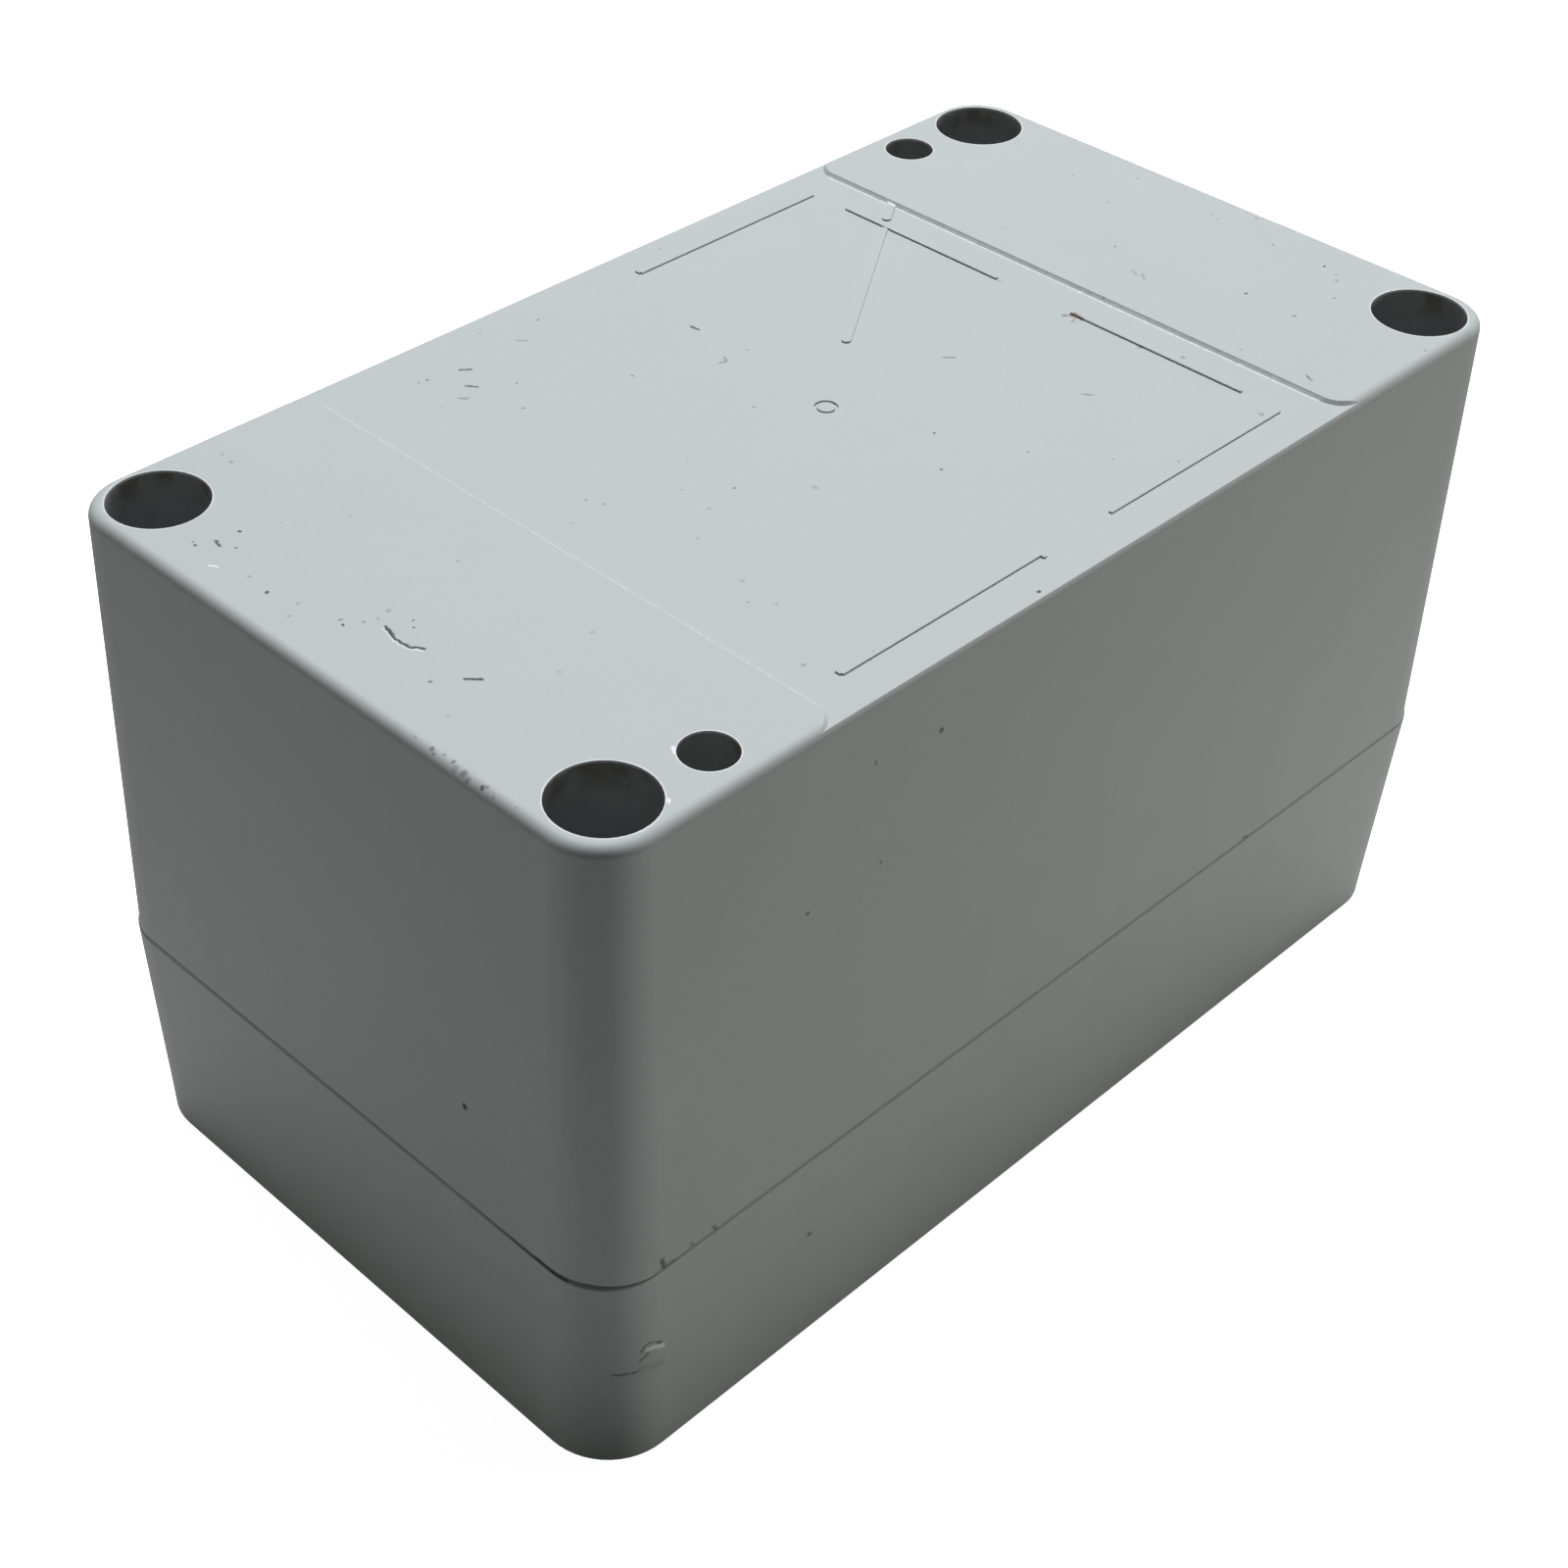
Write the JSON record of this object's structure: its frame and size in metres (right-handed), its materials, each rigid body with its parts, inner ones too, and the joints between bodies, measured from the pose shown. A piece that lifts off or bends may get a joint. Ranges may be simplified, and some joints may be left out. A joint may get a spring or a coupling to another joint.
{
  "type": "push-button enclosure",
  "caption": "Rectangular moulded enclosure with a deep base, a lid and two recessed push-buttons with contact blocks, lying face down.",
  "frame": {"origin": "centre of the lid's face, at the bottom of the box as it lies face down", "axes": "+Z from the lid's face to the back that goes against the wall, +X along the length, +Y across the width"},
  "size_m": [0.1456, 0.0836, 0.086],
  "materials": {
    "moulding": "light grey glass-filled polyester, matt",
    "seal_rubber": "black seal rubber",
    "brass": "plain brass",
    "steel": "zinc-plated steel",
    "spring_steel": "drawn spring wire",
    "black_plastic": "black moulded plastic",
    "grey_plastic": "dark grey moulded plastic",
    "light_plastic": "light grey moulded plastic",
    "green_cap": "green moulded plastic",
    "red_cap": "red moulded plastic"
  },
  "bodies": {
    "lid": {"actuator_body_1": "black_plastic", "actuator_body_2": "black_plastic", "contact_block_break_1": "light_plastic", "contact_block_break_2": "light_plastic", "contact_block_make_1": "light_plastic", "contact_block_make_2": "light_plastic", "contact_carrier_1": "grey_plastic", "contact_carrier_2": "grey_plastic", "contact_strips_break_1": "brass", "contact_strips_break_2": "brass", "contact_strips_make_1": "brass", "contact_strips_make_2": "brass", "lid": "moulding", "lid_gasket": "seal_rubber", "lid_screw_seals": "seal_rubber", "lid_screws": "steel", "lock_ring_1": "black_plastic", "lock_ring_2": "black_plastic", "panel_gasket_1": "seal_rubber", "panel_gasket_2": "seal_rubber", "return_spring_1": "spring_steel", "return_spring_2": "spring_steel", "terminal_screws_break_1": "steel", "terminal_screws_break_2": "steel", "terminal_screws_make_1": "steel", "terminal_screws_make_2": "steel"},
    "base": {"base": "moulding", "lid_screw_inserts": "brass", "earth_bar": "brass", "earth_bar_screws": "steel", "earth_clamp_saddles": "steel", "earth_clamp_screws": "steel"},
    "button_1": {"button_cap_1": "green_cap", "plunger_1": "grey_plastic", "cross_bar_1": "grey_plastic", "contact_plunger_make_1": "green_cap", "contact_plunger_break_1": "red_cap", "contact_bridge_make_1": "brass", "contact_bridge_break_1": "brass"},
    "button_2": {"button_cap_2": "red_cap", "plunger_2": "grey_plastic", "cross_bar_2": "grey_plastic", "contact_plunger_make_2": "green_cap", "contact_plunger_break_2": "red_cap", "contact_bridge_make_2": "brass", "contact_bridge_break_2": "brass"}
  },
  "joints": [
    {"name": "base_lift", "type": "slide", "parent": "lid", "child": "base", "axis": [0, 0, 1], "range_m": [0, 0.06]},
    {"name": "press_button_1", "type": "slide", "parent": "lid", "child": "button_1", "axis": [0, 0, 1], "range_m": [0, 0.004], "stiffness_N_per_m": 700, "springref_m": -0.003, "deforming": ["return_spring_1"]},
    {"name": "press_button_2", "type": "slide", "parent": "lid", "child": "button_2", "axis": [0, 0, 1], "range_m": [0, 0.004], "stiffness_N_per_m": 700, "springref_m": -0.003, "deforming": ["return_spring_2"]}
  ]
}
